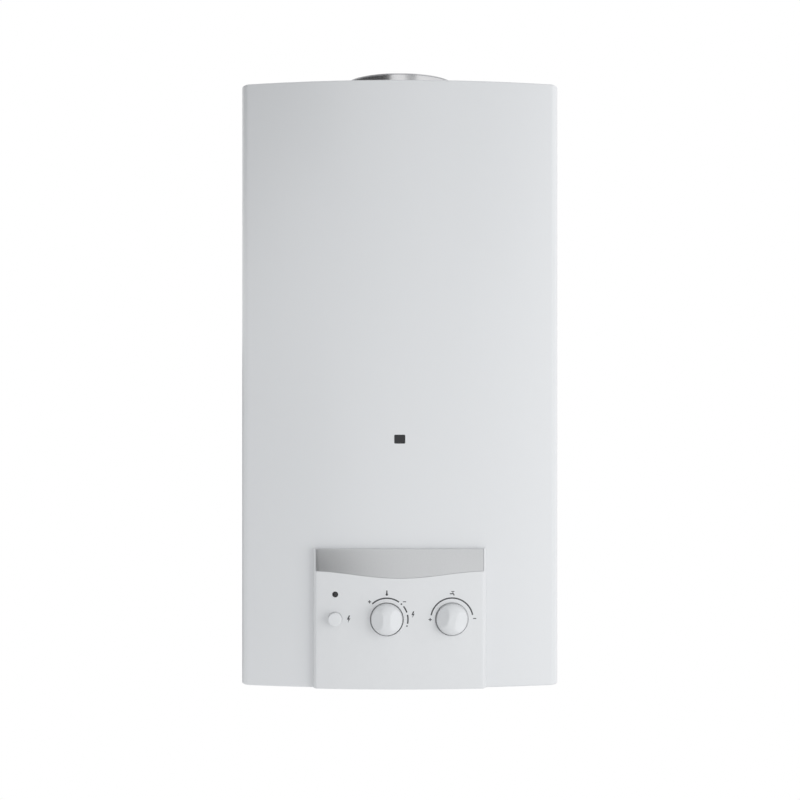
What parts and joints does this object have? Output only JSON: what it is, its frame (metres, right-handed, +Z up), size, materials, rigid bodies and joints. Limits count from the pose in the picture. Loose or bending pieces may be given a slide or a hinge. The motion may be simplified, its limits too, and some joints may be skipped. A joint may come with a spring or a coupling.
{
  "type": "gas water heater",
  "caption": "Wall-hung gas water heater: a white bowed casing with a flue collar, a sight window and a control fascia with turning knobs and an igniter button.",
  "frame": {"origin": "midway between the two upper wall holes, on the wall plane", "axes": "+Z up, +Y from the front into the wall, +X to the right of someone facing the heater"},
  "size_m": [0.356, 0.2644, 0.7025],
  "materials": {
    "white_enamel": "satin",
    "fascia_plastic": "satin",
    "silver_trim": "satin metallic paint",
    "knob_plastic": "gloss",
    "lens_plastic": "gloss",
    "sight_glass": "smoked",
    "galvanised_steel": "spangled zinc",
    "plated_screws": "zinc plate",
    "flue_steel": "polished",
    "stainless": "heat tinted",
    "copper": "drawn copper",
    "brass": "turned",
    "cast_aluminium": "die cast",
    "black_plastic": "matt",
    "rubber": "matt",
    "ceramic": "matt"
  },
  "bodies": {
    "chassis": {"back_plate": "galvanised_steel", "front_cover": "white_enamel", "cover_screws": "plated_screws", "control_fascia": "fascia_plastic", "trim_band": "silver_trim", "indicator_lens": "lens_plastic", "piezo_igniter": "black_plastic", "igniter_nut": "plated_screws", "control_bracket": "galvanised_steel", "sight_glass": "sight_glass", "sight_glass_frame": "galvanised_steel", "flue_collar": "flue_steel", "roof_panel": "galvanised_steel", "draught_hood": "galvanised_steel", "hood_baffle": "galvanised_steel", "hood_bracket": "galvanised_steel", "flue_sensor": "black_plastic", "combustion_chamber": "copper", "chamber_brackets": "galvanised_steel", "fin_block": "copper", "return_bends": "copper", "heating_coil": "copper", "overheat_limiter": "black_plastic", "burner_frame": "galvanised_steel", "burner_bars": "stainless", "burner_bracket": "galvanised_steel", "gas_manifold": "galvanised_steel", "injectors": "brass", "pilot_bracket": "galvanised_steel", "pilot_burner": "brass", "pilot_pipe": "copper", "ignition_electrode": "ceramic", "ignition_lead": "rubber", "thermocouple": "copper", "gas_valve": "cast_aluminium", "magnet_housing": "brass", "water_valve": "brass", "diaphragm": "rubber", "water_valve_cover": "brass", "valve_screws": "plated_screws", "cold_inlet_pipe": "copper", "cold_feed_pipe": "copper", "hot_water_pipe": "copper", "gas_inlet_pipe": "copper", "gas_feed_pipe": "copper", "union_nuts": "brass", "cold_fitting": "brass", "gas_fitting": "brass", "hot_fitting": "brass", "connection_rail": "galvanised_steel", "rail_screws": "plated_screws", "bracket_screws": "plated_screws"},
    "gas_push": {"gas_thrust_pin": "plated_screws"},
    "gas_control": {"gas_knob": "knob_plastic", "gas_spindle": "brass"},
    "temperature_control": {"temperature_knob": "knob_plastic", "water_spindle": "brass"},
    "igniter": {"igniter_button": "knob_plastic"},
    "water_switch": {"push_rod": "plated_screws"}
  },
  "joints": [
    {"name": "gas_knob_push", "type": "slide", "parent": "chassis", "child": "gas_push", "axis": [0, 1, 0], "range_m": [0, 0.004], "stiffness_N_per_m": 900, "springref_m": -0.003},
    {"name": "gas_knob_turn", "type": "hinge", "parent": "gas_push", "child": "gas_control", "pos_m": [-0.014, -0.25, -0.546], "axis": [0, 1, 0], "range_deg": [-43.5, 108.5]},
    {"name": "temperature_knob_turn", "type": "hinge", "parent": "chassis", "child": "temperature_control", "pos_m": [0.0565, -0.25, -0.546], "axis": [0, 1, 0], "range_deg": [-93, 65]},
    {"name": "igniter_press", "type": "slide", "parent": "chassis", "child": "igniter", "axis": [0, 1, 0], "range_m": [0, 0.006], "stiffness_N_per_m": 600, "springref_m": -0.003},
    {"name": "water_switch_stroke", "type": "slide", "parent": "chassis", "child": "water_switch", "axis": [-1, 0, 0], "range_m": [0, 0.003], "stiffness_N_per_m": 800, "springref_m": -0.002}
  ]
}
